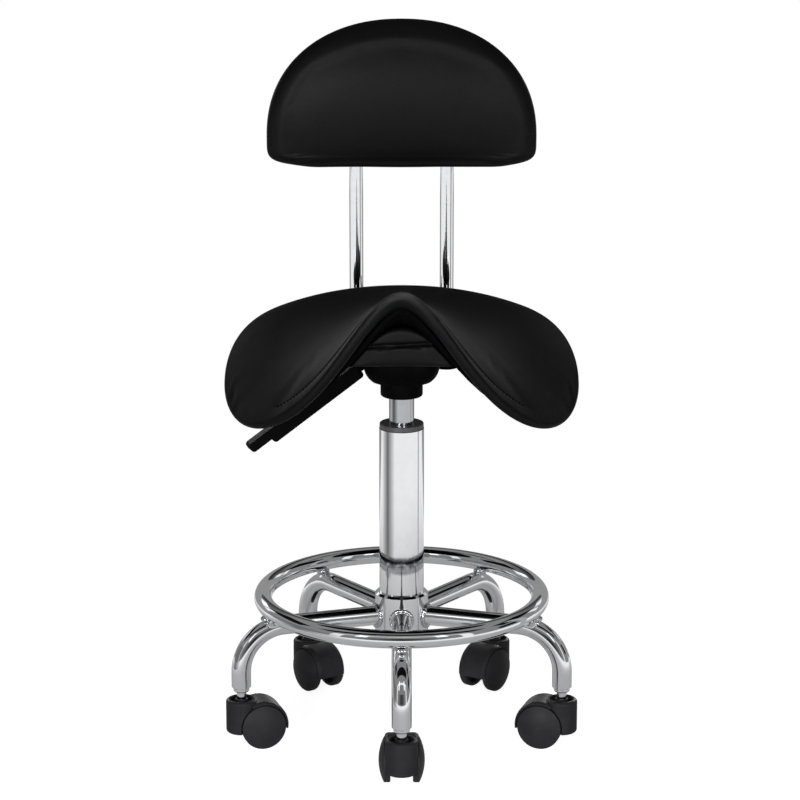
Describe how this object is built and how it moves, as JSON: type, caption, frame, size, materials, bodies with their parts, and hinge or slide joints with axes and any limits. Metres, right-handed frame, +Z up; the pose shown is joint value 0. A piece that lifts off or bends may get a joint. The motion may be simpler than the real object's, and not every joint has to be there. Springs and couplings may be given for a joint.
{
  "type": "dentist stool",
  "caption": "Wheeled dentist stool: black saddle seat with a half-round backrest on a height-adjustable chrome column, foot ring and castors.",
  "frame": {"origin": "on the floor, on the axis of the gas-lift column", "axes": "+Z up, -Y towards the saddle's pommel, +X to the sitter's left"},
  "size_m": [0.3926, 0.436, 0.7839],
  "materials": {
    "chrome": "bright chrome plate on steel tube",
    "zinc_steel": "drawn and zinc-plated steel",
    "black_paint": "satin black powder coat",
    "castor_plastic": "fine-grained moulded nylon",
    "wheel_plastic": "smooth moulded nylon",
    "black_plastic": "moulded polypropylene",
    "bush_plastic": "turned acetal",
    "rubber": "moulded rubber",
    "vinyl": "soft black vinyl over foam",
    "board": "plywood with black vinyl stapled over it"
  },
  "bodies": {
    "base": {"hub_sleeve": "chrome", "leg_1": "chrome", "leg_2": "chrome", "leg_3": "chrome", "leg_4": "chrome", "leg_5": "chrome", "foot_ring": "chrome", "base_welds": "chrome", "stem_sockets": "black_plastic", "castor_stems": "chrome", "column_tube": "chrome", "guide_sleeve": "bush_plastic", "bearing_race_lower": "zinc_steel", "bearing_balls": "zinc_steel"},
    "piston": {"piston_rod": "zinc_steel", "bump_stop": "rubber", "bearing_race_upper": "zinc_steel", "retaining_clip": "zinc_steel"},
    "seat": {"pressure_tube": "zinc_steel", "rod_guide": "black_plastic", "taper_socket": "black_paint", "lift_pan": "black_paint", "lift_plate": "black_paint", "plate_bolts": "zinc_steel", "lever_pin": "zinc_steel", "mount_block": "black_plastic", "seat_shell": "black_plastic", "seat_pad": "vinyl", "back_bracket": "black_paint"},
    "valve": {"valve_button": "zinc_steel"},
    "lever": {"lever_rod": "black_paint", "lever_grip": "black_plastic"},
    "knob_left": {"clamp_knob_left": "black_plastic"},
    "knob_right": {"clamp_knob_right": "black_plastic"},
    "back": {"back_rods": "chrome", "rod_caps": "black_plastic", "rod_holders": "zinc_steel", "back_board": "board", "back_screws": "zinc_steel", "back_pad": "vinyl"},
    "castor_1": {"castor_body_1": "castor_plastic", "castor_axle_1": "zinc_steel"},
    "wheel_left_1": {"wheel_left_1": "wheel_plastic"},
    "wheel_right_1": {"wheel_right_1": "wheel_plastic"},
    "castor_2": {"castor_body_2": "castor_plastic", "castor_axle_2": "zinc_steel"},
    "wheel_left_2": {"wheel_left_2": "wheel_plastic"},
    "wheel_right_2": {"wheel_right_2": "wheel_plastic"},
    "castor_3": {"castor_body_3": "castor_plastic", "castor_axle_3": "zinc_steel"},
    "wheel_left_3": {"wheel_left_3": "wheel_plastic"},
    "wheel_right_3": {"wheel_right_3": "wheel_plastic"},
    "castor_4": {"castor_body_4": "castor_plastic", "castor_axle_4": "zinc_steel"},
    "wheel_left_4": {"wheel_left_4": "wheel_plastic"},
    "wheel_right_4": {"wheel_right_4": "wheel_plastic"},
    "castor_5": {"castor_body_5": "castor_plastic", "castor_axle_5": "zinc_steel"},
    "wheel_left_5": {"wheel_left_5": "wheel_plastic"},
    "wheel_right_5": {"wheel_right_5": "wheel_plastic"}
  },
  "joints": [
    {"name": "castor_swivel_1", "type": "hinge", "parent": "base", "child": "castor_1", "pos_m": [0, -0.188, 0.05], "axis": [0, 0, 1], "continuous": true},
    {"name": "wheel_left_spin_1", "type": "hinge", "parent": "castor_1", "child": "wheel_left_1", "pos_m": [0, -0.167, 0.025], "axis": [-1, 0, 0], "continuous": true},
    {"name": "wheel_right_spin_1", "type": "hinge", "parent": "castor_1", "child": "wheel_right_1", "pos_m": [0, -0.167, 0.025], "axis": [-1, 0, 0], "continuous": true},
    {"name": "castor_swivel_2", "type": "hinge", "parent": "base", "child": "castor_2", "pos_m": [0.1788, -0.0581, 0.05], "axis": [0, 0, 1], "continuous": true},
    {"name": "wheel_left_spin_2", "type": "hinge", "parent": "castor_2", "child": "wheel_left_2", "pos_m": [0.15883, -0.05161, 0.025], "axis": [-0.309, -0.9511, 0], "continuous": true},
    {"name": "wheel_right_spin_2", "type": "hinge", "parent": "castor_2", "child": "wheel_right_2", "pos_m": [0.15883, -0.05161, 0.025], "axis": [-0.309, -0.9511, 0], "continuous": true},
    {"name": "castor_swivel_3", "type": "hinge", "parent": "base", "child": "castor_3", "pos_m": [0.1105, 0.1521, 0.05], "axis": [0, 0, 1], "continuous": true},
    {"name": "wheel_left_spin_3", "type": "hinge", "parent": "castor_3", "child": "wheel_left_3", "pos_m": [0.09816, 0.13511, 0.025], "axis": [0.809, -0.5878, 0], "continuous": true},
    {"name": "wheel_right_spin_3", "type": "hinge", "parent": "castor_3", "child": "wheel_right_3", "pos_m": [0.09816, 0.13511, 0.025], "axis": [0.809, -0.5878, 0], "continuous": true},
    {"name": "castor_swivel_4", "type": "hinge", "parent": "base", "child": "castor_4", "pos_m": [-0.1105, 0.1521, 0.05], "axis": [0, 0, 1], "continuous": true},
    {"name": "wheel_left_spin_4", "type": "hinge", "parent": "castor_4", "child": "wheel_left_4", "pos_m": [-0.09816, 0.13511, 0.025], "axis": [0.809, 0.5878, 0], "continuous": true},
    {"name": "wheel_right_spin_4", "type": "hinge", "parent": "castor_4", "child": "wheel_right_4", "pos_m": [-0.09816, 0.13511, 0.025], "axis": [0.809, 0.5878, 0], "continuous": true},
    {"name": "castor_swivel_5", "type": "hinge", "parent": "base", "child": "castor_5", "pos_m": [-0.1788, -0.0581, 0.05], "axis": [0, 0, 1], "continuous": true},
    {"name": "wheel_left_spin_5", "type": "hinge", "parent": "castor_5", "child": "wheel_left_5", "pos_m": [-0.15883, -0.05161, 0.025], "axis": [-0.309, 0.9511, 0], "continuous": true},
    {"name": "wheel_right_spin_5", "type": "hinge", "parent": "castor_5", "child": "wheel_right_5", "pos_m": [-0.15883, -0.05161, 0.025], "axis": [-0.309, 0.9511, 0], "continuous": true},
    {"name": "seat_swivel", "type": "hinge", "parent": "base", "child": "piston", "pos_m": [0, 0, 0.12], "axis": [0, 0, 1], "continuous": true},
    {"name": "seat_lift", "type": "slide", "parent": "piston", "child": "seat", "axis": [0, 0, 1], "range_m": [0, 0.14]},
    {"name": "lever_lift", "type": "hinge", "parent": "seat", "child": "lever", "pos_m": [-0.02819, -0.01026, 0.438], "axis": [-0.342, 0.9397, 0], "range_deg": [0, 4], "stiffness_Nm_per_rad": 3},
    {"name": "valve_press", "type": "slide", "parent": "seat", "child": "valve", "axis": [0, 0, 1], "range_m": [-0.0028, 0]},
    {"name": "knob_turn_left", "type": "hinge", "parent": "seat", "child": "knob_left", "pos_m": [-0.0525, 0.199, 0.439], "axis": [0, 1, 0], "range_deg": [0, 360]},
    {"name": "knob_turn_right", "type": "hinge", "parent": "seat", "child": "knob_right", "pos_m": [0.0525, 0.199, 0.439], "axis": [0, 1, 0], "range_deg": [0, 360]},
    {"name": "back_height", "type": "slide", "parent": "seat", "child": "back", "axis": [0, 0, 1], "range_m": [-0.06, 0.04]}
  ],
  "couplings": [
    {"joint": "valve_press", "follows": "lever_lift", "m_per_rad": -0.02939}
  ]
}
